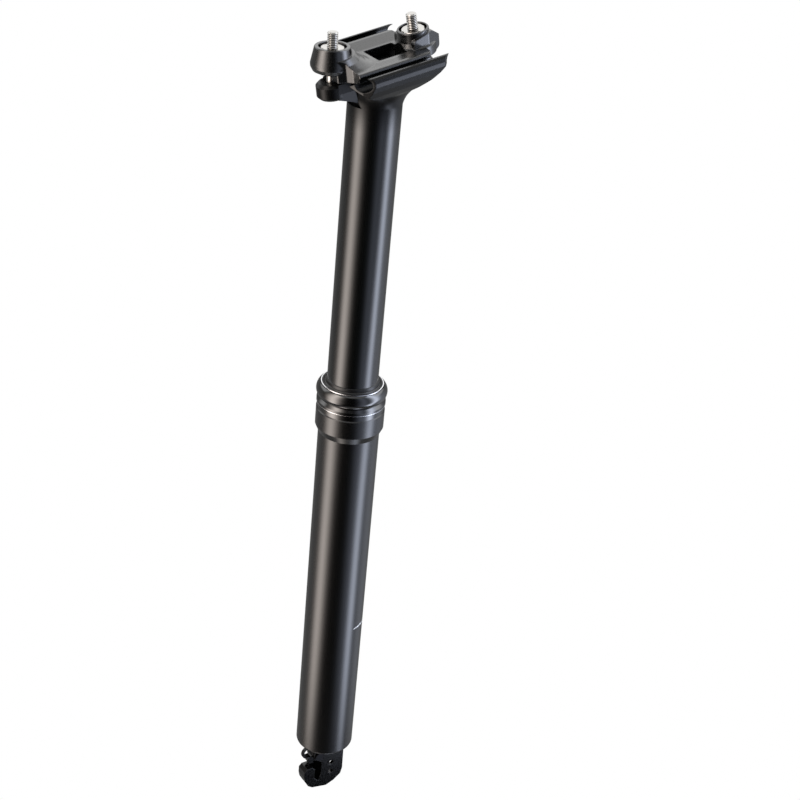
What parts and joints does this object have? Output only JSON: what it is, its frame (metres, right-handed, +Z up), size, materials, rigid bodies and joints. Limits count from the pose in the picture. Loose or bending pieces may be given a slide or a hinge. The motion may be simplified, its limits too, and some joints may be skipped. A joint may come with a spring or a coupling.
{
  "type": "dropper seatpost",
  "caption": "Telescoping bicycle seatpost with a gas-sprung inner post, threaded collar, two-bolt saddle clamp and a cable-pulled release lever at its foot.",
  "frame": {"origin": "on the post's axis at the minimum-insertion line of the outer tube, 85 mm above the tube's lower end", "axes": "+Z up the post towards the saddle, +X forward, +Y to the rider's left"},
  "size_m": [0.0646, 0.0528, 0.4511],
  "materials": {
    "black_anodised": "satin black anodised",
    "collar_black": "glossy black anodised",
    "stanchion_black": "glossy hard black anodised",
    "bracket_black": "satin black anodised",
    "lever_black": "satin black anodised",
    "clamp_black": "glossy black forged",
    "seal_rubber": "matt",
    "wiper_rubber": "matt",
    "foam": "open foam",
    "bushing_plastic": "filled plastic",
    "steel": "zinc plated",
    "bolt_steel": "bright",
    "chromed_rod": "hard chromed",
    "plain_aluminium": "machined",
    "brass": "machined"
  },
  "bodies": {
    "outer_tube": {"outer_tube": "black_anodised", "collar": "collar_black", "collar_o_ring": "seal_rubber", "foam_ring": "foam", "wiper_seal": "wiper_rubber", "backup_ring": "steel", "upper_bushing": "bushing_plastic", "release_bracket": "bracket_black", "plug_o_ring": "seal_rubber", "rod": "chromed_rod", "piston": "plain_aluminium", "piston_seal": "seal_rubber", "pivot_pin": "steel", "pivot_clip": "steel"},
    "inner_post": {"stanchion": "stanchion_black", "lower_bushing": "bushing_plastic", "guide_keys": "brass", "cartridge_cylinder": "plain_aluminium", "end_cap": "plain_aluminium", "gas_valve": "brass", "gland": "plain_aluminium", "rod_seal": "seal_rubber", "cartridge_retainer": "plain_aluminium", "top_out_bumper": "seal_rubber", "front_bolt": "bolt_steel", "rear_bolt": "bolt_steel", "front_washer": "steel", "rear_washer": "steel"},
    "floating_piston": {"floating_piston": "plain_aluminium", "floating_seal": "seal_rubber"},
    "saddle_clamp": {"lower_cradle": "clamp_black", "upper_clamp": "clamp_black"},
    "front_nut": {"front_nut": "bolt_steel"},
    "rear_nut": {"rear_nut": "bolt_steel"},
    "release_pin": {"release_pin": "steel", "valve_poppet": "bushing_plastic"},
    "cam_lever": {"cam_lever": "lever_black"}
  },
  "joints": [
    {"name": "post_travel", "type": "slide", "parent": "outer_tube", "child": "inner_post", "axis": [0, 0, 1], "range_m": [-0.125, 0], "stiffness_N_per_m": 120, "springref_m": 0.25},
    {"name": "floating_piston", "type": "slide", "parent": "inner_post", "child": "floating_piston", "axis": [0, 0, 1], "range_m": [0, 0.0315]},
    {"name": "clamp_tilt", "type": "hinge", "parent": "inner_post", "child": "saddle_clamp", "pos_m": [0.00577, 0, 0.32896], "axis": [0, 1, 0], "range_deg": [-2.8, 2.8]},
    {"name": "front_nut_run", "type": "slide", "parent": "inner_post", "child": "front_nut", "axis": [0.0436, 0, 0.999], "range_m": [-0.001, 0.001]},
    {"name": "rear_nut_run", "type": "slide", "parent": "inner_post", "child": "rear_nut", "axis": [0.2419, 0, 0.9703], "range_m": [-0.0011, 0.0011]},
    {"name": "release_pin_lift", "type": "slide", "parent": "outer_tube", "child": "release_pin", "axis": [0, 0, 1], "range_m": [0, 0.00205], "stiffness_N_per_m": 400, "springref_m": -0.002},
    {"name": "cam_lever_turn", "type": "hinge", "parent": "outer_tube", "child": "cam_lever", "pos_m": [0.005, 0, -0.09426], "axis": [0, 1, 0], "range_deg": [0, 24.5]}
  ],
  "couplings": [
    {"joint": "floating_piston", "follows": "post_travel", "ratio": -0.25},
    {"joint": "front_nut_run", "follows": "clamp_tilt", "m_per_rad": -0.019451},
    {"joint": "rear_nut_run", "follows": "clamp_tilt", "m_per_rad": 0.021656},
    {"joint": "cam_lever_turn", "follows": "release_pin_lift", "rad_per_m": 202}
  ]
}
